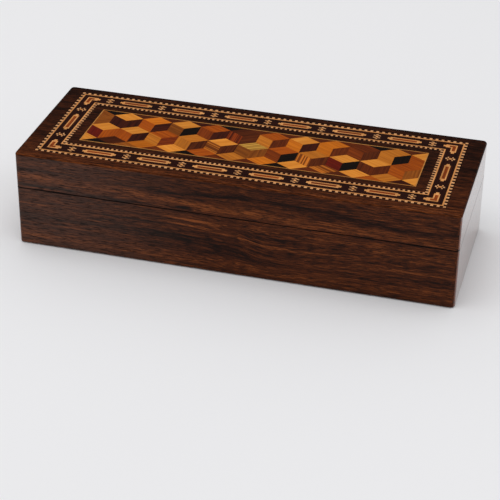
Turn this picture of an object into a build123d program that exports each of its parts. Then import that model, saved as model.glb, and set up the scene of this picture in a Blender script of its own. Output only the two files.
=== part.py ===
from build123d import *
import os
from math import radians, sqrt, tan

# A playing card box: a rosewood-veneered carcase with a hinged lid whose top carries a mosaic band
# and a panel of tumbling-block cubes. Millimetres. The origin is the middle of the underside,
# +X runs to the right end, -Y is the front and +Z is up.

# Whole box
LENGTH, WIDTH, HEIGHT = 235.0, 85.0, 54.0
CORNER_RADIUS = 2.3  # the four upright corners
TOP_EDGE_RADIUS = 1.4
BOTTOM_EDGE_RADIUS = 0.6
SEAM_Z = 33.8  # middle of the joint between base and lid
SEAM_GAP = 0.25
SEAM_EDGE_RADIUS = 0.15

# Materials of the carcase
VENEER = 1.2  # saw-cut rosewood, as thick as it was sawn in the period
WALL = 6.0
BOARD = 4.0  # bottom board and lid board
FACING = 0.9  # rosewood strips on the rims, as thick as the hinge leaves let into them
COVER = 0.5  # baize that the box stands on
COVER_INSET = 1.2
LINING = 0.4
LINING_PLAY = 0.2  # each lining is this much short of its walls

# Wells for two packs of cards, and a narrow one between them
MIDDLE_WELL = 27.0
PARTITION = 3.0
PARTITION_TOP = 30.5
PARTITION_ROUNDING = 0.8

# Hinges: butts let into the back rims, with their barrels in a bevelled groove
OPEN_ANGLE = 100.0
PIN_Y = 41.1
PIN_RADIUS = 0.6
RUNNING_PLAY = 0.05  # between the pin and the knuckles that turn on it
PRESS = 0.02  # the knuckles that hold the pin are this much tighter than it
BARREL_RADIUS = 1.35
BARREL_ROOM = 0.15  # wood stands this far off a barrel
HINGE_X = 66.0
HINGE_LENGTH = 22.0
KNUCKLES = 5
KNUCKLE_PLAY = 0.1
LEAF_FRONT_Y = 36.0
MORTISE_PLAY = 0.1

# Countersunk screws, two in each leaf
SCREW_SPREAD = 13.0
SCREW_Y = 37.85
SCREW_LENGTH = 5.5
SHANK_RADIUS = 0.75
PILOT_RADIUS = 0.6
HEAD_RADIUS = 1.4
HEAD_DEPTH = 0.65
HEAD_PLAY = 0.05
SLOT_WIDTH, SLOT_DEPTH = 0.35, 0.3

# Top of the lid, from the outside in: half sizes of each band's outer edge
INLAY = VENEER  # the top veneer and every inlay in it are as thick as the side veneers
OUTER_BAND_X, OUTER_BAND_Y = 108.5, 36.65
OUTER_BAND = 2.72
MAIN_BAND = 7.93
INNER_BAND = 2.6
PANEL_X, PANEL_Y = 89.6, 18.6  # half sizes of the cube panel
PANEL_LINE = 0.5

# Cubes: each is three equal rhombs, a top one and two below it
RHOMB_EDGE = 9.45
RHOMB_HALF = RHOMB_EDGE * sqrt(3) / 2  # half of its long diagonal
ROW_PITCH = 1.5 * RHOMB_EDGE
GLUE_LINE = 0.05
CUBES_IN_MIDDLE_ROW = 11

# Worked out from the above
RIM_Z = SEAM_Z - SEAM_GAP / 2
LID_RIM_Z = SEAM_Z + SEAM_GAP / 2
FLOOR_Z = COVER + BOARD
TOP_VENEER_Z = HEIGHT - INLAY
LID_BOARD_Z = TOP_VENEER_Z - BOARD
CARCASE_X, CARCASE_Y = LENGTH / 2 - VENEER, WIDTH / 2 - VENEER
INSIDE_X, INSIDE_Y = CARCASE_X - WALL, CARCASE_Y - WALL
SIDES = {"front": 0, "right": 90, "back": 180, "left": 270}
HINGES = {"left": -HINGE_X, "right": HINGE_X}
KNUCKLE_LENGTH = HINGE_LENGTH / KNUCKLES
BASE_KNUCKLES = range(0, KNUCKLES, 2)
LID_KNUCKLES = range(1, KNUCKLES, 2)
SCREW_XS = [x + step for x in HINGES.values() for step in (-SCREW_SPREAD / 2, SCREW_SPREAD / 2)]

os.makedirs("parts", exist_ok=True)


def save(piece, name):
    """Label a finished piece and write it as its own file."""
    piece.part.label = name
    export_step(piece.part, f"parts/{name}.step")


def rounded_block(z_low, z_high, low_radius, high_radius):
    """The outside of the base or of the lid, with its corners and edges eased."""
    with BuildPart() as block:
        with BuildSketch(Plane.XY.offset(z_low)):
            RectangleRounded(LENGTH, WIDTH, CORNER_RADIUS)
        extrude(amount=z_high - z_low)
        fillet(block.edges().group_by(Axis.Z)[-1], high_radius)
        fillet(block.edges().group_by(Axis.Z)[0], low_radius)
    return block.part


def frame_side(side, half_x, half_y, thickness, z_low, z_high):
    """One side of a mitred frame whose outer half sizes are half_x and half_y."""
    turn = SIDES[side]
    along, across = (half_x, half_y) if turn % 180 == 0 else (half_y, half_x)
    with BuildPart() as piece:
        with BuildSketch(Plane.XY.offset(z_low).rotated((0, 0, turn))):
            with Locations((0, -across)):
                Trapezoid(2 * along, thickness, 45, align=(Align.CENTER, Align.MIN))
        extrude(amount=z_high - z_low)
    return piece.part


def along_pin(x_low, length, radius):
    """A cylinder round the hinge axis."""
    with BuildPart() as cylinder:
        with BuildSketch(Plane.YZ.offset(x_low)):
            with Locations((PIN_Y, SEAM_Z)):
                Circle(radius)
        extrude(amount=length)
    return cylinder.part


# Room for the hinges: a V along the whole back seam, whose faces meet when the lid stands open,
# and a round trough for each barrel.
with BuildPart() as hinge_room:
    reach = WIDTH / 2 + 1 - PIN_Y
    spread = SEAM_GAP / 2 + reach * tan(radians(OPEN_ANGLE / 2))
    with BuildSketch(Plane.YZ.offset(-LENGTH / 2 - 1)):
        with BuildLine():
            Polyline(
                (PIN_Y, RIM_Z),
                (PIN_Y + reach, SEAM_Z - spread),
                (PIN_Y + reach, SEAM_Z + spread),
                (PIN_Y, LID_RIM_Z),
                close=True,
            )
        make_face()
    extrude(amount=LENGTH + 2)
    for hinge_x in HINGES.values():
        trough = HINGE_LENGTH + 2 * BARREL_ROOM
        add(along_pin(hinge_x - trough / 2, trough, BARREL_RADIUS + BARREL_ROOM))

base_shape = rounded_block(COVER, RIM_Z, BOTTOM_EDGE_RADIUS, SEAM_EDGE_RADIUS) - hinge_room.part
lid_shape = rounded_block(LID_RIM_Z, HEIGHT, SEAM_EDGE_RADIUS, TOP_EDGE_RADIUS) - hinge_room.part


def screw_planes(rim_z, outward):
    """Where the screws of one rim start, each plane facing out of the wood (outward is 1 or -1)."""
    return [Plane((x, SCREW_Y, rim_z), x_dir=(1, 0, 0), z_dir=(0, 0, outward)) for x in SCREW_XS]


def make_walls(body, shape, z_low, z_high, rim_z, outward):
    """The four carcase walls of the base or the lid, the back one drilled for the hinge screws."""
    for side in SIDES:
        with BuildPart() as wall:
            add(frame_side(side, CARCASE_X, CARCASE_Y, WALL, z_low, z_high))
            add(shape, mode=Mode.INTERSECT)
            if side == "back":
                with Locations(*screw_planes(rim_z, outward)):
                    Cylinder(
                        PILOT_RADIUS,
                        SCREW_LENGTH,
                        align=(Align.CENTER, Align.CENTER, Align.MAX),
                        mode=Mode.SUBTRACT,
                    )
        save(wall, f"{body}_{side}_wall")


def make_veneers(body, shape, z_low, z_high):
    """The four outside veneers of the base or the lid, mitred at the corners."""
    for side in SIDES:
        with BuildPart() as veneer:
            add(frame_side(side, LENGTH / 2, WIDTH / 2, VENEER, z_low, z_high))
            add(shape, mode=Mode.INTERSECT)
        save(veneer, f"{body}_{side}_veneer")


def make_facings(body, shape, z_low):
    """Four mitred strips on the edge of the carcase, the back one cut out for the hinge leaves."""
    for side in SIDES:
        with BuildPart() as facing:
            add(frame_side(side, CARCASE_X, CARCASE_Y, WALL, z_low, z_low + FACING))
            add(shape, mode=Mode.INTERSECT)
            if side == "back":
                with BuildSketch(Plane.XY.offset(z_low)):
                    for hinge_x in HINGES.values():
                        with Locations((hinge_x, LEAF_FRONT_Y - MORTISE_PLAY)):
                            Rectangle(
                                HINGE_LENGTH + 2 * MORTISE_PLAY,
                                WALL + VENEER,
                                align=(Align.CENTER, Align.MIN),
                            )
                extrude(amount=FACING, mode=Mode.SUBTRACT)
        save(facing, f"{body}_{side}_facing")


def knuckle(index, hinge_x):
    """One knuckle of a barrel, counted from the left, short of its neighbours by their play."""
    x_low = hinge_x - HINGE_LENGTH / 2 + index * KNUCKLE_LENGTH
    return along_pin(x_low + KNUCKLE_PLAY / 2, KNUCKLE_LENGTH - KNUCKLE_PLAY, BARREL_RADIUS)


def knuckle_room(index, hinge_x):
    """The space that the other leaf leaves for a knuckle."""
    x_low = hinge_x - HINGE_LENGTH / 2 + index * KNUCKLE_LENGTH
    return along_pin(
        x_low - KNUCKLE_PLAY / 2, KNUCKLE_LENGTH + KNUCKLE_PLAY, BARREL_RADIUS + BARREL_ROOM
    )


def make_leaf(name, hinge_x, rim_z, outward, own, other, bore_radius):
    """A hinge leaf: a plate flush with the rim, its knuckles, and two countersunk holes."""
    plate_low = min(rim_z, rim_z - outward * FACING)
    with BuildPart() as leaf:
        with BuildSketch(Plane.XY.offset(plate_low)):
            with Locations((hinge_x, LEAF_FRONT_Y)):
                Rectangle(HINGE_LENGTH, PIN_Y - LEAF_FRONT_Y, align=(Align.CENTER, Align.MIN))
        extrude(amount=FACING)
        for index in other:
            add(knuckle_room(index, hinge_x), mode=Mode.SUBTRACT)
        for index in own:
            add(knuckle(index, hinge_x))
        add(along_pin(hinge_x - HINGE_LENGTH, 2 * HINGE_LENGTH, bore_radius), mode=Mode.SUBTRACT)
        with Locations(*screw_planes(rim_z, outward)):
            Cylinder(
                SHANK_RADIUS + HEAD_PLAY,
                SCREW_LENGTH,
                align=(Align.CENTER, Align.CENTER, Align.MAX),
                mode=Mode.SUBTRACT,
            )
            Cone(
                SHANK_RADIUS + HEAD_PLAY,
                HEAD_RADIUS + HEAD_PLAY,
                HEAD_DEPTH,
                align=(Align.CENTER, Align.CENTER, Align.MAX),
                mode=Mode.SUBTRACT,
            )
    save(leaf, name)


def make_screws(name, rim_z, outward):
    """The four slotted screws that hold two leaves, with their heads flush with the rim."""
    head_up = (Align.CENTER, Align.CENTER, Align.MAX)
    with BuildPart() as screws:
        with Locations(*screw_planes(rim_z, outward)):
            Cylinder(SHANK_RADIUS, SCREW_LENGTH, align=head_up)
            Cone(SHANK_RADIUS, HEAD_RADIUS, HEAD_DEPTH, align=head_up)
            Box(2 * HEAD_RADIUS, SLOT_WIDTH, SLOT_DEPTH, align=head_up, mode=Mode.SUBTRACT)
    save(screws, name)


# Base carcase
make_walls("base", base_shape, COVER, RIM_Z - FACING, RIM_Z, 1)
make_veneers("base", base_shape, COVER, RIM_Z)
make_facings("base", base_shape, RIM_Z - FACING)

with BuildPart() as bottom_board:
    with BuildSketch(Plane.XY.offset(COVER)):
        Rectangle(2 * INSIDE_X, 2 * INSIDE_Y)
    extrude(amount=BOARD)
save(bottom_board, "bottom_board")

with BuildPart() as bottom_cover:
    with BuildSketch(Plane.XY):
        RectangleRounded(LENGTH - 2 * COVER_INSET, WIDTH - 2 * COVER_INSET, CORNER_RADIUS)
    extrude(amount=COVER)
save(bottom_cover, "bottom_cover")

# Wells
for side, toward in (("left", -1), ("right", 1)):
    with BuildPart() as partition:
        with BuildSketch(Plane.XY.offset(FLOOR_Z)):
            with Locations((toward * (MIDDLE_WELL + PARTITION) / 2, 0)):
                Rectangle(PARTITION, 2 * INSIDE_Y)
        extrude(amount=PARTITION_TOP - FLOOR_Z)
        long_top_edges = partition.edges().group_by(Axis.Z)[-1].filter_by(Axis.Y)
        fillet(long_top_edges, PARTITION_ROUNDING)
    save(partition, f"{side}_partition")

PARTITION_X = MIDDLE_WELL / 2 + PARTITION
WELLS = {
    "left_well": (-INSIDE_X, -PARTITION_X),
    "middle_well": (-MIDDLE_WELL / 2, MIDDLE_WELL / 2),
    "right_well": (PARTITION_X, INSIDE_X),
}
for well, (x_low, x_high) in WELLS.items():
    with BuildPart() as lining:
        with BuildSketch(Plane.XY.offset(FLOOR_Z)):
            with Locations(((x_low + x_high) / 2, 0)):
                Rectangle(x_high - x_low - 2 * LINING_PLAY, 2 * (INSIDE_Y - LINING_PLAY))
        extrude(amount=LINING)
    save(lining, f"{well}_lining")

# Lid carcase
make_walls("lid", lid_shape, LID_RIM_Z + FACING, LID_BOARD_Z, LID_RIM_Z, -1)
make_veneers("lid", lid_shape, LID_RIM_Z, TOP_VENEER_Z)
make_facings("lid", lid_shape, LID_RIM_Z)

with BuildPart() as lid_board:
    with BuildSketch(Plane.XY.offset(LID_BOARD_Z)):
        Rectangle(2 * CARCASE_X, 2 * CARCASE_Y)
    extrude(amount=BOARD)
save(lid_board, "lid_board")

with BuildPart() as lid_lining:
    with BuildSketch(Plane.XY.offset(LID_BOARD_Z - LINING)):
        Rectangle(2 * (INSIDE_X - LINING_PLAY), 2 * (INSIDE_Y - LINING_PLAY))
    extrude(amount=LINING)
save(lid_lining, "lid_lining")

# Veneer and bands of the top, each a flush ring inside the one before
with BuildPart() as top_outer_border:
    with BuildSketch(Plane.XY.offset(TOP_VENEER_Z)):
        Rectangle(LENGTH, WIDTH)
        Rectangle(2 * OUTER_BAND_X, 2 * OUTER_BAND_Y, mode=Mode.SUBTRACT)
    extrude(amount=INLAY)
    add(lid_shape, mode=Mode.INTERSECT)
save(top_outer_border, "top_outer_border")


def make_ring(name, outer_x, outer_y, inner_x, inner_y):
    """A rectangular ring let into the top."""
    with BuildPart() as ring:
        with BuildSketch(Plane.XY.offset(TOP_VENEER_Z)):
            Rectangle(2 * outer_x, 2 * outer_y)
            Rectangle(2 * inner_x, 2 * inner_y, mode=Mode.SUBTRACT)
        extrude(amount=INLAY)
    save(ring, name)


ring_x, ring_y = OUTER_BAND_X, OUTER_BAND_Y
for name, width in (
    ("outer_stringing_band", OUTER_BAND),
    ("main_mosaic_band", MAIN_BAND),
    ("inner_stringing_band", INNER_BAND),
):
    make_ring(name, ring_x, ring_y, ring_x - width, ring_y - width)
    ring_x, ring_y = ring_x - width, ring_y - width
make_ring("top_inner_border", ring_x, ring_y, PANEL_X + PANEL_LINE, PANEL_Y + PANEL_LINE)
make_ring("panel_stringing", PANEL_X + PANEL_LINE, PANEL_Y + PANEL_LINE, PANEL_X, PANEL_Y)

# Cube panel. A rhomb has its long diagonal along X. Its opposite edges are RHOMB_HALF apart, so
# this factor draws each edge in by half a glue line. A cube's left and right faces are the same
# rhomb, turned 60 degrees each way, and the triangles at the panel's edges are rhombs cut in half.
shrink = 1 - GLUE_LINE / RHOMB_HALF
RHOMB = [
    (RHOMB_HALF * shrink, 0),
    (0, RHOMB_EDGE / 2 * shrink),
    (-RHOMB_HALF * shrink, 0),
    (0, -RHOMB_EDGE / 2 * shrink),
]
steps = range(-CUBES_IN_MIDDLE_ROW, CUBES_IN_MIDDLE_ROW + 1)
WIDE_ROW = [step * RHOMB_HALF for step in steps if step % 2]
MIDDLE_ROW = [step * RHOMB_HALF for step in steps if step % 2 == 0]
CUBES = [(x, ROW_PITCH) for x in WIDE_ROW] + [(x, 0) for x in MIDDLE_ROW]
FACE_DROP = 0.75 * RHOMB_EDGE
PANEL_GROUPS = {
    "cube_tops": (CUBES + [(x, -ROW_PITCH) for x in WIDE_ROW], 0),
    "cube_left_faces": ([(x - RHOMB_HALF / 2, y - FACE_DROP) for x, y in CUBES], -60),
    "cube_right_faces": ([(x + RHOMB_HALF / 2, y - FACE_DROP) for x, y in CUBES], 60),
    "panel_edge_triangles": (
        [(x, side * (ROW_PITCH + RHOMB_EDGE / 2)) for side in (1, -1) for x in MIDDLE_ROW],
        0,
    ),
}
for group, (centres, turn) in PANEL_GROUPS.items():
    with BuildPart() as pieces:
        with BuildSketch(Plane.XY.offset(TOP_VENEER_Z)):
            with Locations(*[Location((x, y, 0), (0, 0, turn)) for x, y in centres]):
                Polygon(*RHOMB, align=None)
            Rectangle(2 * PANEL_X, 2 * PANEL_Y, mode=Mode.INTERSECT)
        extrude(amount=INLAY)
    save(pieces, group)

# Hinges: the base leaf grips the pin, and the lid leaf turns on it
tight, running = PIN_RADIUS - PRESS, PIN_RADIUS + RUNNING_PLAY
for hinge, hinge_x in HINGES.items():
    base_leaf, lid_leaf = f"{hinge}_hinge_base_leaf", f"{hinge}_hinge_lid_leaf"
    make_leaf(base_leaf, hinge_x, RIM_Z, 1, BASE_KNUCKLES, LID_KNUCKLES, tight)
    make_leaf(lid_leaf, hinge_x, LID_RIM_Z, -1, LID_KNUCKLES, BASE_KNUCKLES, running)
    with BuildPart() as pin:
        with BuildSketch(Plane.YZ.offset(hinge_x - HINGE_LENGTH / 2)):
            with Locations((PIN_Y, SEAM_Z)):
                Circle(PIN_RADIUS)
        extrude(amount=HINGE_LENGTH)
    save(pin, f"{hinge}_hinge_pin")

make_screws("base_hinge_screws", RIM_Z, 1)
make_screws("lid_hinge_screws", LID_RIM_Z, -1)
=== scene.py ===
import math
import random

import bpy
from mathutils import Matrix, Vector
from mathutils import noise as cloth_noise


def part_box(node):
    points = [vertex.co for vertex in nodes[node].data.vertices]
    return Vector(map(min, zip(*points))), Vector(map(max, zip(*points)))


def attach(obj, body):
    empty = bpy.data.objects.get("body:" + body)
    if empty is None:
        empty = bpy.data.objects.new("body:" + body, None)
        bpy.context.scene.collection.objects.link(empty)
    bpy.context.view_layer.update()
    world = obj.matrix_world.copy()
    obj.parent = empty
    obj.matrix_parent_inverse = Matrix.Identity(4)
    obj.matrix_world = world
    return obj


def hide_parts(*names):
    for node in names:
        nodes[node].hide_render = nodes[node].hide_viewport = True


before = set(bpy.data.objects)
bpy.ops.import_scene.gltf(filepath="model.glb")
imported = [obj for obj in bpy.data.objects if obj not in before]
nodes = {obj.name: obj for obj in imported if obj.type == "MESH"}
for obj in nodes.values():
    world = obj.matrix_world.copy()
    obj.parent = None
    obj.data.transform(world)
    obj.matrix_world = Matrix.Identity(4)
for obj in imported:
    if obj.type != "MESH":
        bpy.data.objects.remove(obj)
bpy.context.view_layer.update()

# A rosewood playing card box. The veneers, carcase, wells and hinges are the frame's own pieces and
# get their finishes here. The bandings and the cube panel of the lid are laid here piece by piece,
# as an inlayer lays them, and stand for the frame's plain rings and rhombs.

MM = 0.001

# The lid's top, its rings and the seam, read from the frame
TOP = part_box("top_outer_border")[1].z
INLAY_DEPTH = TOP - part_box("lid_board")[1].z


def half_sizes(node):
    """Half the length and half the width of a ring that is centred on the box."""
    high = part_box(node)[1]
    return high.x, high.y


OUTER_X, OUTER_Y = half_sizes("outer_stringing_band")
MAIN_X, MAIN_Y = half_sizes("main_mosaic_band")
INNER_X, INNER_Y = half_sizes("inner_stringing_band")
FIELD_X, FIELD_Y = half_sizes("top_inner_border")
PANEL_X, PANEL_Y = half_sizes("cube_tops")
SEAM = (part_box("base_front_veneer")[1].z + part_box("lid_front_veneer")[0].z) / 2
HALF_WIDTH = 42.5 * MM  # of the box, from its middle to its front

GLUE_BEVEL = 0.05 * MM  # eased edge of every inlaid piece, which shows as its glue line
chance = random.Random(1870)  # picks each tile's spot in its plank, the same in every run


# ---------------------------------------------------------------- nodes


def rgb(code):
    """A colour as it would be written on a paint card, such as "6b3a1e", for a shader."""
    channels = [int(code[i:i + 2], 16) / 255 for i in (0, 2, 4)]
    return [c / 12.92 if c <= 0.04045 else ((c + 0.055) / 1.055) ** 2.4 for c in channels] + [1]


def new_finish(name):
    """An empty finish: its material, its node tree and its shader."""
    made = bpy.data.materials.new(name)
    made.use_nodes = True
    return made, made.node_tree, made.node_tree.nodes["Principled BSDF"]


def node(tree, kind, inputs=None, **settings):
    """One node. An input that is a socket is linked, and any other is set."""
    made = tree.nodes.new("ShaderNode" + kind)
    for name, value in settings.items():
        setattr(made, name, value)
    for key, value in (inputs or {}).items():
        if isinstance(value, bpy.types.NodeSocket):
            tree.links.new(value, made.inputs[key])
        else:
            made.inputs[key].default_value = value
    return made


def calc(tree, operation, *values, clamp=False):
    """One sum of values and sockets, held between 0 and 1 if asked."""
    made = node(tree, "Math", dict(enumerate(values)), operation=operation, use_clamp=clamp)
    return made.outputs[0]


def stretched(tree, place, fineness):
    """The place with its three axes scaled, so that a pattern on it is drawn out along one."""
    return node(tree, "VectorMath", {0: place, 1: fineness}, operation="MULTIPLY").outputs[0]


def noise(tree, place, scale=1.0, detail=3.0, roughness=0.55):
    """Soft random spots, from 0 to 1."""
    inputs = {"Vector": place, "Scale": scale, "Detail": detail, "Roughness": roughness}
    return node(tree, "TexNoise", inputs).outputs[0]


def spread(tree, value, low, high, to_low=0.0, to_high=1.0, smooth=False):
    """The value's range from low to high, opened out to the new range and held there."""
    kind = "SMOOTHSTEP" if smooth else "LINEAR"
    return node(
        tree, "MapRange", {0: value, 1: low, 2: high, 3: to_low, 4: to_high}, interpolation_type=kind
    ).outputs[0]


def tones(tree, value, *stops):
    """Colours along a value, given as (place, paint code)."""
    made = node(tree, "ValToRGB", {0: value})
    elements = made.color_ramp.elements
    while len(elements) < len(stops):
        elements.new(0.5)
    for element, (place, code) in zip(elements, stops):
        element.position = place
        element.color = rgb(code)
    return made.outputs[0]


def mixed(tree, factor, first, second, blend="MIX"):
    """The first colour, with the second laid over it."""
    inputs = {0: factor, 6: first, 7: second}
    return node(tree, "Mix", inputs, data_type="RGBA", blend_type=blend).outputs[2]


def mixed_light(tree, factor, first, second):
    """The first shader or glow, giving way to the second."""
    return node(tree, "MixShader", {0: factor, 1: first.outputs[0], 2: second.outputs[0]})


def bumped(tree, shader, height, strength, distance=0.05 * MM):
    """Raises the surface by a height from 0 to 1."""
    made = node(tree, "Bump", {"Height": height, "Strength": strength, "Distance": distance})
    tree.links.new(made.outputs[0], shader.inputs["Normal"])


def object_place(tree):
    """The point of the box that is being coloured, in metres."""
    return node(tree, "TexCoord").outputs["Object"]


# ---------------------------------------------------------------- finishes

# How often a pattern comes in a metre: along the grain, across it and down into it
WANDERING_GRAIN = (9, 24, 24)
BROAD_BANDS = (5, 120, 120)
STREAKS = (22, 560, 560)
HAIR_STREAKS = (110, 2400, 2400)
DARK_STREAKS = (6, 170, 170)
FRAYED_EDGES = (20, 700, 700)
PORES = (200, 2400, 2400)
PLAIN_GRAIN = (16, 600, 600)
SEAM_SHADE_PATCHES = (60, 60, 300)
BAIZE_FIBRES = (900, 1500, 900)
PAPER_FIBRES = (2600, 900, 900)
INLAY_GRAIN = (24, 700, 1)
INLAY_HAIRS = (70, 2200, 1)
INLAY_STRIPES = (14, 1300, 1)

# Colours of wear, and of painted shade and painted reflection
PORE_BLACK = "120906"
# The near-black below is the seam's painted shade; the red and grey after it are painted reflections
SEAM_SHADE_BLACK = "060302"
END_REFLECTION_RED = "b4603a"
LEFT_VEIL_GREY = "a08a80"
FOXING_BROWN = "5a3a20"


def polish(shader, roughness=0.45, gloss=0.1, coat=0.4, coat_roughness=0.1, coat_ior=1.28):
    """Old french polish: satin wood under a thin glossy skin."""
    shader.inputs["Roughness"].default_value = roughness
    shader.inputs["Specular IOR Level"].default_value = gloss
    shader.inputs["Coat Weight"].default_value = coat
    shader.inputs["Coat Roughness"].default_value = coat_roughness
    shader.inputs["Coat IOR"].default_value = coat_ior


def grain_place(tree, along, waviness=4 * MM):
    """The place with the grain along X, which wanders a little up and down."""
    place = object_place(tree)
    if along == "y":
        turned = node(tree, "Mapping", {"Vector": place, "Rotation": (0, 0, math.pi / 2)})
        place = turned.outputs[0]
    wander = noise(tree, stretched(tree, place, WANDERING_GRAIN), detail=2)
    wander = calc(tree, "MULTIPLY", calc(tree, "SUBTRACT", wander, 0.5), waviness)
    across = node(tree, "CombineXYZ", {1: wander, 2: wander}).outputs[0]
    return node(tree, "VectorMath", {0: place, 1: across}, operation="ADD").outputs[0]


# Rosewood's colours, from the black of its figure to its orange
ROSEWOOD = ((0.0, "140804"), (0.2, "2a1108"), (0.5, "46200d"), (0.75, "5c2d13"), (1.0, "80441f"))


def rosewood_figure(tree, place):
    """Broad bands, streaks and hair lines of rosewood, from 0 in its black to 1 in its orange."""
    broad = noise(tree, stretched(tree, place, BROAD_BANDS))
    streaks = noise(tree, stretched(tree, place, STREAKS), detail=5, roughness=0.7)
    hairs = noise(tree, stretched(tree, place, HAIR_STREAKS), detail=4, roughness=0.75)
    figure = calc(tree, "MULTIPLY", broad, 0.14)
    figure = calc(tree, "MULTIPLY_ADD", streaks, 0.3, figure)
    figure = calc(tree, "MULTIPLY_ADD", hairs, 0.56, figure)
    return spread(tree, figure, 0.395, 0.625)


# Single bands of the front's figure: their line and strength along the box, in millimetres from
# its middle and its foot, and half their width. A strength below 0 is a black band.
FRONT_BANDS = (
    (((-117, 45), (-78, 44.8), (-20, 44), (12, 46.3), (50, 45.5), (70, 42.6), (117, 42)),
     ((-117, -0.3), (-60, -0.2), (-20, -0.4), (50, -0.36), (117, -0.36)), 2.4),
    (((-117, 41), (-60, 39.6), (-20, 38.2), (25, 39), (70, 37.5), (117, 36.5)),
     ((-117, 0.3), (-60, 0.25), (-15, 0.4), (30, 0.3), (80, 0.25), (117, 0.1)), 3.2),
    (((-117, 36.4), (-40, 34.8)), ((-117, -0.5), (-60, -0.5), (-35, 0)), 1.3),
    (((-40, 35.9), (-10, 35.9)), ((-33, 0), (-26, -1), (-19, 0)), 1.2),
    (((-48, 30.5), (-20, 28.6), (8, 27)), ((-50, 0), (-25, 0.55), (10, 0)), 1.6),
    (((-40, 26), (5, 24)), ((-44, 0), (-20, 0.5), (6, 0)), 1.0),
    (((-117, 17), (-40, 17.5), (10, 15)), ((-117, -0.12), (-30, -0.22), (0, -0.2), (40, 0)), 4.5),
    (((-117, 6), (117, 6)), ((-117, 0.2), (117, 0.16)), 6.0),
    (((-10, 24.5), (85, 23.5)), ((-12, 0), (0, 0.5), (60, 0.45), (85, 0)), 1.4),
    (((80, 18.8), (117, 18.4)), ((82, 0), (92, 0.45), (117, 0.4)), 0.9),
    (((-117, 25.4), (-90, 25)), ((-117, 0.4), (-100, 0.35), (-92, 0)), 0.8),
)
FRONT_DIP = ((-20, 0), (0, 0.7), (22, 4), (42, 3.4), (64, 2), (100, 0.8))  # millimetres downwards
FIGURE_LENGTH = 240  # a little over the box, so that a band's line runs on past its end

# The least value of each kind of curve, and the span from there to its greatest
LINE_RANGE = (0, 60)
STRENGTH_RANGE = (-1, 2)
DIP_RANGE = (-10, 20)


def front_place(tree, place):
    """How far along the front a place is, from 0 to 1, and its height in metres."""
    split = node(tree, "SeparateXYZ", {0: place})
    along = calc(tree, "MULTIPLY_ADD", split.outputs[0], 1000 / FIGURE_LENGTH, 0.5)
    return along, split.outputs[2]


def along_box(tree, place, points, low, span):
    """A value that follows given points along the box, from low over a span."""
    made = node(tree, "FloatCurve", {1: place})
    curve = made.mapping.curves[0]
    ends = ((-FIGURE_LENGTH / 2, points[0][1]), *points, (FIGURE_LENGTH / 2, points[-1][1]))
    for point, (x, value) in zip((curve.points[0], curve.points[-1]), (ends[0], ends[-1])):
        point.location = (x / FIGURE_LENGTH + 0.5, (value - low) / span)
    for x, value in points:
        curve.points.new(x / FIGURE_LENGTH + 0.5, (value - low) / span)
    made.mapping.update()
    return calc(tree, "MULTIPLY_ADD", made.outputs[0], span, low)


def dipping(tree, place):
    """The front's grain, which dips in the base to the right of the middle."""
    along, height = front_place(tree, place)
    dip = along_box(tree, along, FRONT_DIP, *DIP_RANGE)
    below = spread(tree, height, 32 * MM, 20 * MM, smooth=True)
    above = spread(tree, height, 2 * MM, 14 * MM, smooth=True)
    shift = calc(tree, "MULTIPLY", calc(tree, "MULTIPLY", below, above), dip)
    shift = node(tree, "CombineXYZ", {2: calc(tree, "MULTIPLY", shift, MM)}).outputs[0]
    return node(tree, "VectorMath", {0: place, 1: shift}, operation="ADD").outputs[0]


def banded(tree, place, figure):
    """The front's own bands on the figure. Their edges run out into streaks."""
    along, height = front_place(tree, place)
    height = calc(tree, "MULTIPLY", height, 1000)
    frayed = calc(tree, "MULTIPLY", noise(tree, stretched(tree, place, FRAYED_EDGES)), 1.6)
    for line, strength, half_width in FRONT_BANDS:
        middle = along_box(tree, along, line, *LINE_RANGE)
        off = calc(tree, "ABSOLUTE", calc(tree, "SUBTRACT", height, middle))
        off = calc(tree, "ADD", calc(tree, "DIVIDE", off, half_width), frayed)
        band = spread(tree, off, 0.6, 1.9, 1.0, 0.0, smooth=True)
        level = along_box(tree, along, strength, *STRENGTH_RANGE)
        figure = calc(tree, "MULTIPLY_ADD", band, level, figure)
    return calc(tree, "ADD", figure, 0.0, clamp=True)


def streaked(tree, place, figure):
    """Broad dark streaks on the back and the ends."""
    streaks = noise(tree, stretched(tree, place, DARK_STREAKS), detail=2)
    shift = spread(tree, streaks, 0.36, 0.64, -0.38, 0.3)
    return calc(tree, "ADD", figure, shift, clamp=True)


def painted_shade_to_the_back(tree, place, figure):
    """Painted light on the top's veneer: a redder painted highlight along its front edge, and painted
    shade to nearly black along its back.
    """
    depth = node(tree, "SeparateXYZ", {0: place}).outputs[1]
    shift = spread(tree, depth, -HALF_WIDTH, HALF_WIDTH, 0.02, -0.34)
    painted_front_highlight = spread(tree, depth, -HALF_WIDTH, 8.5 * MM - HALF_WIDTH, 0.16, 0.0)
    return calc(tree, "ADD", figure, calc(tree, "ADD", shift, painted_front_highlight), clamp=True)


def shaded_at_seam(tree, colour):
    """Painted shade along the edges where the lid meets the base: the veneer darkened nearly to black
    at the seam.
    """
    place = object_place(tree)
    height = node(tree, "SeparateXYZ", {0: place}).outputs[2]
    off = calc(tree, "ABSOLUTE", calc(tree, "SUBTRACT", height, SEAM))
    uneven = noise(tree, stretched(tree, place, SEAM_SHADE_PATCHES), detail=2)
    off = calc(tree, "DIVIDE", off, spread(tree, uneven, 0.3, 0.7, 0.35 * MM, 0.8 * MM))
    return mixed(tree, spread(tree, off, 0.4, 1.0, 0.88, 0.0), colour, rgb(SEAM_SHADE_BLACK))


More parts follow.
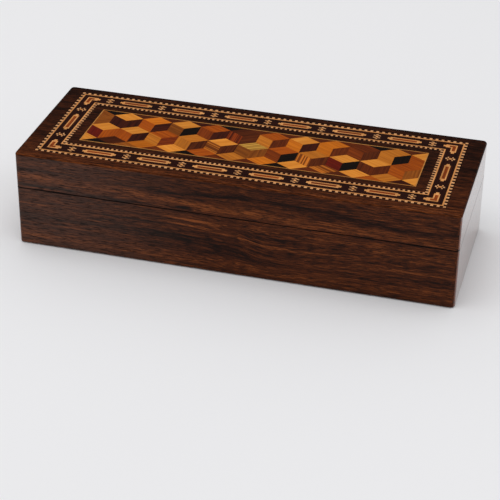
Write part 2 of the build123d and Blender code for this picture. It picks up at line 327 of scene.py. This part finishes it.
def with_pores(tree, shader, place, colour, depth=0.72):
    """Short dark pores along the grain, which also dent the polish."""
    dashes = noise(tree, stretched(tree, place, PORES), detail=2)
    pores = spread(tree, dashes, 0.53, 0.6)
    colour = mixed(tree, calc(tree, "MULTIPLY", pores, depth), colour, rgb(PORE_BLACK))
    tree.links.new(colour, shader.inputs["Base Color"])
    bumped(tree, shader, calc(tree, "SUBTRACT", 1.0, pores), 0.25)


def painted_end_reflection(tree, colour):
    """Painted reflection: the ends mixed a little toward a pale red, standing in for the pale floor
    that their polish reflects.
    """
    return mixed(tree, 0.24, colour, rgb(END_REFLECTION_RED))


def painted_veil_on_left(tree, colour):
    """Painted reflection: the front's left half mixed a little toward grey, standing in for a milky
    veil of reflected floor in its polish.
    """
    along = node(tree, "SeparateXYZ", {0: object_place(tree)}).outputs[0]
    veil_amount = spread(tree, along, 0.0, -0.1, 0.0, 0.085, smooth=True)
    return mixed(tree, veil_amount, colour, rgb(LEFT_VEIL_GREY))


def rosewood(name, along="x", own_grain=None, own_figure=None, own_painted_reflection=None, **shine):
    """Rosewood veneer with its pores, the painted shade along its seam and its polish, and what is its
    side's own.
    """
    made, tree, shader = new_finish(name)
    place = grain_place(tree, along)
    if own_grain:
        place = own_grain(tree, place)
    figure = rosewood_figure(tree, place)
    if own_figure:
        figure = own_figure(tree, place, figure)
    colour = tones(tree, figure, *ROSEWOOD)
    if own_painted_reflection:
        colour = own_painted_reflection(tree, colour)
    with_pores(tree, shader, place, shaded_at_seam(tree, colour))
    polish(shader, **shine)
    return made


def plain_wood(name, dark, light, along="x", gloss=False):
    """Straight-grained wood of the carcase and the rims."""
    made, tree, shader = new_finish(name)
    place = grain_place(tree, along, 2 * MM)
    lines = noise(tree, stretched(tree, place, PLAIN_GRAIN), detail=4)
    colour = tones(tree, spread(tree, lines, 0.32, 0.68), (0.0, dark), (1.0, light))
    with_pores(tree, shader, place, colour, 0.3)
    if gloss:
        polish(shader, coat=0.35, coat_roughness=0.25)
    else:
        shader.inputs["Roughness"].default_value = 0.62
    return made


def baize(name, code):
    """Wool baize: a matt felt with short fibres."""
    made, tree, shader = new_finish(name)
    place = object_place(tree)
    fibres = noise(tree, stretched(tree, place, BAIZE_FIBRES), detail=5, roughness=0.7)
    patches = noise(tree, place, 60)
    shade = spread(tree, calc(tree, "MULTIPLY_ADD", patches, 0.5, fibres), 0.5, 1.0, 0.55, 1.25)
    colour = mixed(tree, 1.0, rgb(code), shade, "MULTIPLY")
    tree.links.new(colour, shader.inputs["Base Color"])
    shader.inputs["Roughness"].default_value = 0.95
    shader.inputs["Sheen Weight"].default_value = 0.35
    bumped(tree, shader, fibres, 0.5, 0.2 * MM)
    return made


def lining_paper(name, code):
    """Surface-coloured paper, rubbed and a little foxed."""
    made, tree, shader = new_finish(name)
    place = object_place(tree)
    fibres = noise(tree, stretched(tree, place, PAPER_FIBRES), detail=3)
    rubbed = noise(tree, place, 34, detail=4, roughness=0.6)
    shade = spread(tree, calc(tree, "MULTIPLY_ADD", fibres, 0.35, rubbed), 0.4, 0.95, 0.72, 1.2)
    colour = mixed(tree, 1.0, rgb(code), shade, "MULTIPLY")
    foxing = spread(tree, noise(tree, place, 120, detail=2), 0.66, 0.74, 0.0, 0.35)
    tree.links.new(mixed(tree, foxing, colour, rgb(FOXING_BROWN)), shader.inputs["Base Color"])
    shader.inputs["Roughness"].default_value = 0.75
    shader.inputs["Specular IOR Level"].default_value = 0.3
    bumped(tree, shader, fibres, 0.25)
    return made


def brass(name, dark, light):
    """Dull old brass, browner where it isn't handled."""
    made, tree, shader = new_finish(name)
    tarnish = noise(tree, object_place(tree), 420, detail=4)
    colour = tones(tree, tarnish, (0.35, dark), (0.65, light))
    tree.links.new(colour, shader.inputs["Base Color"])
    tree.links.new(spread(tree, tarnish, 0.3, 0.7, 0.48, 0.28), shader.inputs["Roughness"])
    shader.inputs["Metallic"].default_value = 0.8
    return made


def inlaid_woods(name):
    """The inlay under its polish. Each tile brings its two colours and its own stretch of grain."""
    made, tree, shader = new_finish(name)
    place = node(tree, "UVMap", uv_map="Grain").outputs[0]
    streaks = noise(tree, stretched(tree, place, INLAY_GRAIN), detail=3)
    hairs = noise(tree, stretched(tree, place, INLAY_HAIRS), detail=2)
    figure = calc(tree, "MULTIPLY_ADD", hairs, 0.5, calc(tree, "MULTIPLY", streaks, 0.5))
    figure = spread(tree, figure, 0.38, 0.6)
    stripes = noise(tree, stretched(tree, place, INLAY_STRIPES), detail=1, roughness=0.4)
    stripes = spread(tree, stripes, 0.38, 0.62, smooth=True)
    striped = node(tree, "Attribute", attribute_name="Striped").outputs["Fac"]
    figure = calc(tree, "MULTIPLY_ADD", calc(tree, "SUBTRACT", stripes, figure), striped, figure)
    light = node(tree, "VertexColor", layer_name="Light").outputs[0]
    dark = node(tree, "VertexColor", layer_name="Dark").outputs[0]
    colour = mixed(tree, figure, dark, light)
    plank = spread(tree, noise(tree, place, 1.7, detail=0), 0.3, 0.7, 0.73, 0.99)
    colour = mixed(tree, 1.0, colour, plank, "MULTIPLY")
    tree.links.new(colour, shader.inputs["Base Color"])
    bumped(tree, shader, hairs, 0.12)
    polish(shader, roughness=0.35, gloss=0.03, coat=0.15)
    return made


# ---------------------------------------------------------------- camera, light and floor


# The camera, worked out from the edges of the box: it looks to the left of +Y and down from level
CAMERA_PLACE = Vector((197.2, -739.9, 448.9)) * MM
CAMERA_LENS = 117.8
CAMERA_AZIMUTH = math.radians(15.0)
CAMERA_DOWN = math.radians(30.905)
CAMERA_ROLL = math.radians(0.75)

# The soft boxes: their place and size in metres, and their power in watts
SOFT_BOXES = (
    ("key_softbox", (-0.1, -0.22, 1.6), 1.4, 9.4),
    ("front_softbox", (0.5, -1.2, 1.4), 1.2, 1.5),
    ("right_softbox", (1.5, 0.4, 0.8), 1.0, 2.2),
)
LIT_POINT = Vector((0, 0, 0.03))
WHITE = (1, 1, 1, 1)
BACKDROP = "e4e4e6"
ROOM_FILL = 0.6
ROOM_IN_POLISH = 0.16
# The floor's colour: lighter on the left, and darker to the right as painted shade
FLOOR_LEFT = "f5f5f7"
FLOOR_PAINTED_SHADE = "f0f0f2"


def looking(place, forward):
    """Stands at a place and looks along a direction, with no roll."""
    return Matrix.Translation(place) @ forward.to_track_quat("-Z", "Y").to_matrix().to_4x4()


def set_camera():
    """The camera, with its roll."""
    data = bpy.data.cameras.new("camera")
    data.sensor_width = 36.0
    data.lens = CAMERA_LENS
    camera = bpy.data.objects.new("camera", data)
    bpy.context.scene.collection.objects.link(camera)
    level = math.cos(CAMERA_DOWN)
    forward = Vector((
        -math.sin(CAMERA_AZIMUTH) * level, math.cos(CAMERA_AZIMUTH) * level, -math.sin(CAMERA_DOWN)
    ))
    camera.matrix_world = looking(CAMERA_PLACE, forward) @ Matrix.Rotation(CAMERA_ROLL, 4, "Z")
    bpy.context.scene.camera = camera


def set_light():
    """Three soft boxes, and a pale room that fills the shadows and shows faintly in the polish."""
    for name, place, size, power in SOFT_BOXES:
        data = bpy.data.lights.new(name, "AREA")
        data.shape = "SQUARE"
        data.size = size
        data.energy = power
        lamp = bpy.data.objects.new(name, data)
        bpy.context.scene.collection.objects.link(lamp)
        place = Vector(place)
        lamp.matrix_world = looking(place, LIT_POINT - place)
    world = bpy.data.worlds.new("studio")
    world.use_nodes = True
    bpy.context.scene.world = world
    tree = world.node_tree
    seen = node(tree, "Background", {"Color": rgb(BACKDROP), "Strength": 1.0})
    fill = node(tree, "Background", {"Color": WHITE, "Strength": ROOM_FILL})
    polished = node(tree, "Background", {"Color": WHITE, "Strength": ROOM_IN_POLISH})
    path = node(tree, "LightPath")
    lit = mixed_light(tree, path.outputs["Is Glossy Ray"], fill, polished)
    whole = mixed_light(tree, path.outputs["Is Camera Ray"], lit, seen)
    tree.links.new(whole.outputs[0], tree.nodes["World Output"].inputs["Surface"])


def add_floor():
    """A pale floor, a little darker to the right as painted shade, which melts into the backdrop far
    out.
    """
    bpy.ops.object.select_all(action="DESELECT")
    bpy.ops.mesh.primitive_circle_add(vertices=96, radius=6.0, fill_type="NGON", location=(0, 0, 0))
    floor = bpy.context.object
    floor.name = "floor"
    made, tree, shader = new_finish("pale_paper")
    place = object_place(tree)
    aslant = node(tree, "VectorMath", {0: place, 1: (1, -0.5, 0)}, operation="DOT_PRODUCT")
    shade = spread(tree, aslant.outputs["Value"], -0.4, 0.1)
    colour = mixed(tree, shade, rgb(FLOOR_LEFT), rgb(FLOOR_PAINTED_SHADE))
    tree.links.new(colour, shader.inputs["Base Color"])
    shader.inputs["Roughness"].default_value = 0.8
    shader.inputs["Specular IOR Level"].default_value = 0.1
    distance = node(tree, "VectorMath", {0: place}, operation="LENGTH").outputs["Value"]
    far = spread(tree, distance, 0.6, 1.8, smooth=True)
    path = node(tree, "LightPath")
    seen = calc(tree, "MAXIMUM", path.outputs["Is Camera Ray"], path.outputs["Is Glossy Ray"])
    backdrop = node(tree, "Emission", {"Color": rgb(BACKDROP), "Strength": 1.0})
    lit = mixed_light(tree, calc(tree, "MULTIPLY", far, seen), shader, backdrop)
    tree.links.new(lit.outputs[0], tree.nodes["Material Output"].inputs["Surface"])
    floor.data.materials.append(made)


# ---------------------------------------------------------------- the inlayer's tiles

# Woods of the inlay: their lighter and their darker grain
BAND_WOODS = {
    "H": ("e2aa76", "c88a54"),  # box
    "L": ("e09c5e", "c68244"),  # box, toasted for the stringing lines
    "S": ("e8a668", "cc843f"),  # satinwood
    "C": ("a04a18", "6c2a0c"),  # padauk
    "R": ("42180b", "2a0d06"),  # rosewood
    "B": ("32120a", "1c0805"),  # ebony
}
CUBE_WOODS = {
    "A": ("ea9638", "ca7724"),  # satinwood
    "B": ("d67516", "b05a0e"),  # yew
    "C": ("d17b24", "ad611a"),  # cherry
    "D": ("b7560c", "8e3c08"),  # pear
    "E": ("883a0c", "622607"),  # padauk
    "F": ("741c0a", "521008"),  # bloodwood
    "G": ("73300c", "4c1c08"),  # walnut
    "H": ("9e5618", "72380e"),  # olive
    "I": ("612a0c", "3e1608"),  # bog oak
    "J": ("4a1a0c", "2a0e08"),  # purpleheart
    "K": ("1b0f0a", "0e0806"),  # ebony
    "M": ("8f380b", "4c1808"),  # kingwood, striped
    "S": ("cc7222", "74380f"),  # zebrano, striped
    "T": ("cc9840", "7c501a"),  # laburnum, striped
}

STRIPED_WOODS = [CUBE_WOODS[letter] for letter in "MST"]

inlay_finish = inlaid_woods("inlaid_woods")
tile_patterns = {}  # each size of tile, modelled once


def pick_faces(piece, test):
    """Opens a piece for editing with the faces selected that pass a test."""
    bpy.ops.object.select_all(action="DESELECT")
    piece.select_set(True)
    bpy.context.view_layer.objects.active = piece
    bpy.ops.object.mode_set(mode="EDIT")
    bpy.ops.mesh.select_mode(type="FACE")
    bpy.ops.mesh.select_all(action="DESELECT")
    bpy.ops.object.mode_set(mode="OBJECT")
    for face in piece.data.polygons:
        face.select = test(face)
    bpy.ops.object.mode_set(mode="EDIT")


def cut(place, normal):
    """Saws the piece that is open for editing, and takes away what lies beyond the cut."""
    bpy.ops.mesh.select_all(action="SELECT")
    bpy.ops.mesh.bisect(plane_co=place, plane_no=normal, clear_outer=True, use_fill=True)


def tile_pattern(kind, length, width):
    """A tile centred on the lid's middle with its grain map: a block, a mitred strip or a rhomb."""
    # Tiles whose sizes differ by under a tenth of the bevel share one pattern
    key = (kind, round(length / GLUE_BEVEL, 1), round(width / GLUE_BEVEL, 1))
    if key in tile_patterns:
        return tile_patterns[key]
    bpy.ops.object.select_all(action="DESELECT")
    middle = (0, 0, TOP - INLAY_DEPTH / 2)
    if kind == "rhomb":
        bpy.ops.mesh.primitive_cylinder_add(vertices=4, radius=0.5, depth=1, location=middle)
    else:
        bpy.ops.mesh.primitive_cube_add(size=1, location=middle)
    tile = bpy.context.object
    tile.scale = (length, width, INLAY_DEPTH)
    bpy.ops.object.transform_apply(location=True, rotation=True, scale=True)
    if kind == "strip":
        pick_faces(tile, lambda face: True)
        for end in (-1, 1):
            cut((end * length / 2, -width / 2, 0), (end, 1, 0))
        bpy.ops.object.mode_set(mode="OBJECT")
    pick_faces(tile, lambda face: face.normal.z > 0.5)
    bpy.ops.mesh.bevel(offset=GLUE_BEVEL, segments=1, affect="EDGES")
    bpy.ops.object.mode_set(mode="OBJECT")
    mesh = tile.data
    while mesh.uv_layers:
        mesh.uv_layers.remove(mesh.uv_layers[0])
    mesh.uv_layers.new(name="Grain")
    mesh.color_attributes.new("Light", "FLOAT_COLOR", "POINT")
    mesh.color_attributes.new("Dark", "FLOAT_COLOR", "POINT")
    mesh.attributes.new("Striped", "FLOAT", "POINT")
    tile_patterns[key] = tile
    return tile


def lay(tray, pattern, place, wood, grain=0.0):
    """Lays a copy of a tile in its place, sawn from its own spot in a plank of the wood."""
    mesh = pattern.data.copy()
    points = [mesh.vertices[loop.vertex_index].co for loop in mesh.loops]
    along, across = math.cos(grain), math.sin(grain)
    u, v = chance.uniform(0, 5), chance.uniform(0, 5)
    places = [(u + p.x * along + p.y * across, v - p.x * across + p.y * along) for p in points]
    mesh.uv_layers["Grain"].data.foreach_set("uv", [value for pair in places for value in pair])
    for layer, code in zip(("Light", "Dark"), wood):
        mesh.color_attributes[layer].data.foreach_set("color", rgb(code) * len(mesh.vertices))
    striped = float(wood in STRIPED_WOODS)
    mesh.attributes["Striped"].data.foreach_set("value", [striped] * len(mesh.vertices))
    mesh.transform(place)
    tile = bpy.data.objects.new("tile", mesh)
    bpy.context.scene.collection.objects.link(tile)
    tray.append(tile)


def glue_up(name, tray, stands_for):
    """Joins the tiles of a tray into one piece of the lid."""
    bpy.ops.object.select_all(action="DESELECT")
    for tile in tray:
        tile.select_set(True)
    bpy.context.view_layer.objects.active = tray[0]
    bpy.ops.object.join()
    piece = bpy.context.object
    piece.name = name
    piece.data.materials.append(inlay_finish)
    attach(piece, "lid")
    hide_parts(stands_for)
    return piece


def at(x, y, turn=0.0):
    """A place on the lid from its middle, turned by so many degrees."""
    return Matrix.Translation((x, y, 0)) @ Matrix.Rotation(math.radians(turn), 4, "Z")


def on_side(side, along, out):
    """So far along one of the lid's four sides, and so far out from its middle."""
    return Matrix.Rotation(side * math.pi / 2, 4, "Z") @ at(along, -out)


def sides(half_x, half_y):
    """The four sides from the front round: number, half length, and distance from the middle."""
    return ((0, half_x, half_y), (1, half_y, half_x), (2, half_x, half_y), (3, half_y, half_x))


# ---------------------------------------------------------------- the bandings

LIGHT_TOOTH = 0.46  # of the pitch from one light tooth to the next
OUTER_TEETH = (135, 43)  # how many on each long side and on each short side
INNER_TEETH = (153, 37)
OUTER_EDGE = 0.3 * MM
OUTER_LINE = 0.8 * MM
HAIR_LINE = 0.15 * MM
INNER_LINE = 0.8 * MM
INNER_EDGE = 2 * HAIR_LINE


def lay_line(tray, half_x, half_y, width, wood):
    """A line of wood round the lid, mitred at the corners."""
    for side, half, out in sides(half_x, half_y):
        strip = tile_pattern("strip", 2 * half, width)
        lay(tray, strip, on_side(side, 0, out - width / 2), wood)


def lay_teeth(tray, half_x, half_y, depth, counts, corner):
    """Light and black teeth in turn. The long sides' rows run through the corners."""
    for side, half, out in sides(half_x, half_y):
        long_side = side % 2 == 0
        count = counts[side % 2]
        run = 2 * half if long_side else 2 * (half - depth)
        starts_light = (corner == "H") == long_side
        spare = 1 - 2 * LIGHT_TOOTH  # the row has one more tooth of the wood that starts it
        pitch = run / (count - spare if starts_light else count + spare)
        along = -run / 2
        for i in range(count):
            light = (i % 2 == 0) == starts_light
            width = 2 * pitch * (LIGHT_TOOTH if light else 1 - LIGHT_TOOTH)
            tooth = tile_pattern("block", width, depth)
            place = on_side(side, along + width / 2, out - depth / 2)
            lay(tray, tooth, place, BAND_WOODS["H" if light else "B"])
            along += width


def lay_outer_banding():
    """From outside in: an ebony edge, the teeth, a light line and a hair line."""
    tray = []
    ebony, box = BAND_WOODS["B"], BAND_WOODS["L"]
    line = HAIR_LINE + OUTER_LINE
    depth = OUTER_X - OUTER_EDGE - MAIN_X - line
    lay_line(tray, OUTER_X, OUTER_Y, OUTER_EDGE, ebony)
    lay_teeth(tray, OUTER_X - OUTER_EDGE, OUTER_Y - OUTER_EDGE, depth, OUTER_TEETH, "H")
    lay_line(tray, MAIN_X + line, MAIN_Y + line, OUTER_LINE, box)
    lay_line(tray, MAIN_X + HAIR_LINE, MAIN_Y + HAIR_LINE, HAIR_LINE, ebony)
    glue_up("outer_banding", tray, "outer_stringing_band")


def lay_inner_banding():
    """From outside in: a light line, the teeth and a rosewood edge."""
    tray = []
    depth = INNER_X - INNER_LINE - FIELD_X - INNER_EDGE
    lay_line(tray, INNER_X, INNER_Y, INNER_LINE, BAND_WOODS["L"])
    lay_teeth(tray, INNER_X - INNER_LINE, INNER_Y - INNER_LINE, depth, INNER_TEETH, "B")
    lay_line(tray, FIELD_X + INNER_EDGE, FIELD_Y + INNER_EDGE, INNER_EDGE, BAND_WOODS["R"])
    glue_up("inner_banding", tray, "inner_stringing_band")


# The wide banding repeats a lozenge and a long bar. Its five rows, from the lozenge's middle on:
BANDING_ROWS = (
    "HBBBBB" + "R" * 12 + "BBBBB",
    "RHBBBB" + "S" * 12 + "BBBBH",
    "SRBBBSS" + "C" * 10 + "SSBBBR",
    "RHBBBB" + "S" * 12 + "BBBBH",
    "HBBBBB" + "R" * 12 + "BBBBB",
)
REPEAT = len(BANDING_ROWS[0])
LONG_CELLS = 78  # pitches from the lid's middle to the middle of a corner
SHORT_CELLS = 40  # along a short side, between its corners
CORNER_CELLS = 3  # that a long side's row leaves to each corner
CORNER_LEVELS = "RSCSR"  # the bars turn the corner in the order of their rows
CELL = (MAIN_X + INNER_X) / 2 / LONG_CELLS
ROW_WIDTHS = [width * CELL for width in (0.74, 0.56, 1.3, 0.56, 0.74)]
ROWS_WIDTH = sum(ROW_WIDTHS)


def lay_row(tray, side, along, out, width, cells, lengths):
    """A row of cells, where neighbours of one wood are one longer block."""
    start = 0
    while start < len(cells):
        end = start
        while end < len(cells) and cells[end] == cells[start]:
            end += 1
        length = sum(lengths[start:end])
        block = tile_pattern("block", length, width)
        lay(tray, block, on_side(side, along + length / 2, out), BAND_WOODS[cells[start]])
        along += length
        start = end


def lay_main_banding():
    """Five rows of cells between two ebony edges, with a square of strips at each corner."""
    tray = []
    edge = (MAIN_X - INNER_X - ROWS_WIDTH) / 2
    middle_x, middle_y = (MAIN_X + INNER_X) / 2, (MAIN_Y + INNER_Y) / 2
    short_pitch = (2 * middle_y - ROWS_WIDTH) / SHORT_CELLS
    lay_line(tray, MAIN_X, MAIN_Y, edge, BAND_WOODS["B"])
    lay_line(tray, INNER_X + edge, INNER_Y + edge, edge, BAND_WOODS["B"])
    for side, half, out in sides(middle_x, middle_y):
        long_side = side % 2 == 0
        for row, repeat in enumerate(BANDING_ROWS):
            if long_side:
                reach = LONG_CELLS - CORNER_CELLS
                cells = [repeat[n % REPEAT] for n in range(-reach, reach + 1)]
                pitch = CELL
            else:
                reach = SHORT_CELLS // 2
                cells = [repeat[(n + REPEAT // 2 + 1) % REPEAT] for n in range(-reach, reach)]
                pitch = short_pitch
            width = ROW_WIDTHS[row]
            row_out = out + sum(ROW_WIDTHS[:row]) + (width - ROWS_WIDTH) / 2
            corner_start = half - ROWS_WIDTH / 2
            lengths = [pitch] * len(cells)
            lengths[0] = lengths[-1] = corner_start - (len(cells) / 2 - 1) * pitch
            lay_row(tray, side, -corner_start, row_out, width, cells, lengths)
            corner = [CORNER_LEVELS[max(row, column)] for column in range(len(BANDING_ROWS))]
            lay_row(tray, side, corner_start, row_out, width, corner, ROW_WIDTHS)
    glue_up("main_banding", tray, "main_mosaic_band")


# ---------------------------------------------------------------- the cube panel

RHOMB_EDGE = 9.45 * MM  # also its height, as two of its corners are of 60 degrees
RHOMB_HALF = RHOMB_EDGE * math.cos(math.radians(30))  # of its length
ROW_PITCH = 1.5 * RHOMB_EDGE

# The wood of each cube's top, left and right face, from the left, in the rows from the back
CUBE_ROWS = (
    ("HABADIDABGCA", " JDHEMCBBECD", "HJJKJIGJGIK "),
    ("AADCATDCAAD", "FDCCSHESFGD", "DJMIIHKIKGH"),
    ("AIBADCBASACA", "", ""),
)
EDGE_TRIANGLES = ("KIIJKIGIGKI", "KHGKGGKGIDJ")  # along the back and along the front
FACE_TURN = 60  # degrees from a cube's top to its left and right face
GRAIN_LEAN = 30  # degrees from a rhomb's long axis to its edges


def lay_cube_panel():
    """The cubes, rhomb by rhomb, sawn off along the edges of the panel."""
    rhomb = tile_pattern("rhomb", 2 * RHOMB_HALF, RHOMB_EDGE)
    trays = {"tops": [], "left_faces": [], "right_faces": [], "edge_triangles": []}

    def lay_rhombs(tray, woods, y, turn, shift=0.0):
        """A row of rhombs, one for each letter, from the left. A space is a gap."""
        for i, letter in enumerate(woods):
            if letter != " ":
                x = (2 * i - len(woods) + 1) * RHOMB_HALF + shift
                grain = math.radians(chance.choice((-GRAIN_LEAN, GRAIN_LEAN)))
                lay(trays[tray], rhomb, at(x, y, turn), CUBE_WOODS[letter], grain)

    for row, (tops, lefts, rights) in enumerate(CUBE_ROWS):
        y = (1 - row) * ROW_PITCH
        lay_rhombs("tops", tops, y, 0)
        lay_rhombs("left_faces", lefts, y - ROW_PITCH / 2, -FACE_TURN, -RHOMB_HALF / 2)
        lay_rhombs("right_faces", rights, y - ROW_PITCH / 2, FACE_TURN, RHOMB_HALF / 2)
    for end, woods in zip((1, -1), EDGE_TRIANGLES):
        lay_rhombs("edge_triangles", woods, end * (ROW_PITCH + RHOMB_EDGE / 2), 0)

    nodes_and_slots = (
        ("tops", "cube_tops", "satinwood"),
        ("left_faces", "cube_left_faces", "kingwood"),
        ("right_faces", "cube_right_faces", "dark_rosewood"),
        ("edge_triangles", "panel_edge_triangles", "ebony"),
    )
    for tray, stands_for, slot in nodes_and_slots:
        piece = glue_up("laid_" + tray, trays[tray], stands_for)
        pick_faces(piece, lambda face: True)
        for end in (-1, 1):
            cut((end * PANEL_X, 0, 0), (end, 0, 0))
            cut((0, end * PANEL_Y, 0), (0, end, 0))
        bpy.ops.object.mode_set(mode="OBJECT")


# ---------------------------------------------------------------- finishes of the frame's pieces


MAHOGANY = ("5a3320", "8a5433")
RIM_ROSEWOOD = ("2b1510", "5a3020")
BOX_LINE = ("b0702c", "c98c44")
CLEAN_BRASS = ("8f6c38", "c9a25c")
SCREW_BRASS = ("4a361b", "7d5f33")


def paint(finish, *names):
    """Gives pieces of the frame their finish."""
    for name in names:
        mesh = nodes[name].data
        mesh.materials.clear()
        mesh.materials.append(finish)


def finish_frame():
    """Finishes every piece that keeps the frame's shape."""
    front_veneer = rosewood(
        "rosewood_front", own_grain=dipping, own_figure=banded, own_painted_reflection=painted_veil_on_left, gloss=0.05, coat=0.2
    )
    back_veneer = rosewood("rosewood_back", own_figure=streaked, gloss=0.05, coat=0.2)
    end_veneer = rosewood(
        "rosewood_ends", "y", own_figure=streaked, own_painted_reflection=painted_end_reflection,
        roughness=0.25, gloss=0.25, coat=0.9, coat_ior=1.5,
    )
    top_veneer = rosewood("rosewood_top", own_figure=painted_shade_to_the_back, gloss=0.02, coat=0.12)
    for body in ("base", "lid"):
        paint(front_veneer, f"{body}_front_veneer")
        paint(back_veneer, f"{body}_back_veneer")
        paint(end_veneer, f"{body}_left_veneer", f"{body}_right_veneer")
    paint(top_veneer, "top_outer_border", "top_inner_border")
    mahogany_long = plain_wood("mahogany_long", *MAHOGANY)
    mahogany_end = plain_wood("mahogany_end", *MAHOGANY, "y")
    rim_long = plain_wood("rosewood_rim_long", *RIM_ROSEWOOD, gloss=True)
    rim_end = plain_wood("rosewood_rim_end", *RIM_ROSEWOOD, "y", gloss=True)
    for body in ("base", "lid"):
        paint(mahogany_long, f"{body}_front_wall", f"{body}_back_wall")
        paint(mahogany_end, f"{body}_left_wall", f"{body}_right_wall")
        paint(rim_long, f"{body}_front_facing", f"{body}_back_facing")
        paint(rim_end, f"{body}_left_facing", f"{body}_right_facing")
    paint(mahogany_long, "bottom_board", "lid_board")
    paint(rim_end, "left_partition", "right_partition")
    paint(plain_wood("box_line", *BOX_LINE, gloss=True), "panel_stringing")
    paint(lining_paper("lid_paper", "7c3040"), "lid_lining")
    metal = brass("old_brass", *CLEAN_BRASS)
    for hinge in ("left_hinge", "right_hinge"):
        paint(metal, f"{hinge}_base_leaf", f"{hinge}_lid_leaf", f"{hinge}_pin")
    paint(brass("dirty_brass", *SCREW_BRASS), "base_hinge_screws", "lid_hinge_screws")


# ---------------------------------------------------------------- baize

BAIZE_MESH = 1.8 * MM
BAIZE_RUFFLE = 0.12 * MM  # how far its surface rises and falls
CUT_WANDER = 0.25 * MM  # how far the scissors strayed
SOFT_EDGE = 0.45  # of its thickness, which its upper edge draws in


def lay_baize(name, finish, ruffle, stands_for):
    """A piece of baize glued down: cut by hand a little out of true, with a soft edge."""
    low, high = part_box(stands_for)
    size, middle = high - low, (low + high) / 2
    bpy.ops.object.select_all(action="DESELECT")
    bpy.ops.mesh.primitive_grid_add(
        x_subdivisions=round(size.x / BAIZE_MESH), y_subdivisions=round(size.y / BAIZE_MESH),
        size=1, location=(middle.x, middle.y, low.z),
    )
    sheet = bpy.context.object
    sheet.name = name
    sheet.scale = (size.x, size.y, 1)
    bpy.ops.object.transform_apply(location=True, rotation=True, scale=True)
    thickness = size.z - ruffle
    solidify = sheet.modifiers.new("thickness", "SOLIDIFY")
    solidify.thickness = thickness
    solidify.offset = 1
    bpy.ops.object.modifier_apply(modifier=solidify.name)
    edge = thickness * SOFT_EDGE
    for vertex in sheet.data.vertices:
        place = vertex.co
        top = place.z > low.z + thickness / 2
        for axis in (0, 1):
            cut_back = CUT_WANDER * abs(cloth_noise.noise(place * 60 + Vector((axis * 7, 0, 0))))
            reach = size[axis] / 2 - cut_back - (edge if top else 0)
            offset = place[axis] - middle[axis]
            place[axis] = middle[axis] + max(-reach, min(reach, offset))
        if top:
            place.z += ruffle * (0.5 + cloth_noise.noise(place * 90) / 2)
    sheet.data.polygons.foreach_set("use_smooth", [True] * len(sheet.data.polygons))
    sheet.data.materials.append(finish)
    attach(sheet, "base")
    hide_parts(stands_for)


def lay_all_baize():
    """The floors of the three wells, and the underside that the box stands on."""
    green = baize("baize_wells", "2f5a3a")
    for well in ("left_well", "middle_well", "right_well"):
        lay_baize(well + "_baize", green, BAIZE_RUFFLE, well + "_lining")
    dark = baize("baize_underside", "24452f")
    lay_baize("underside_baize", dark, 0.0, "bottom_cover")


def clear_bench():
    """Takes away the patterns that the tiles were copied from."""
    for pattern in tile_patterns.values():
        bpy.data.objects.remove(pattern)


bpy.context.scene.view_settings.view_transform = "Standard"
set_camera()
set_light()
add_floor()
finish_frame()
lay_all_baize()
lay_outer_banding()
lay_main_banding()
lay_inner_banding()
lay_cube_panel()
clear_bench()
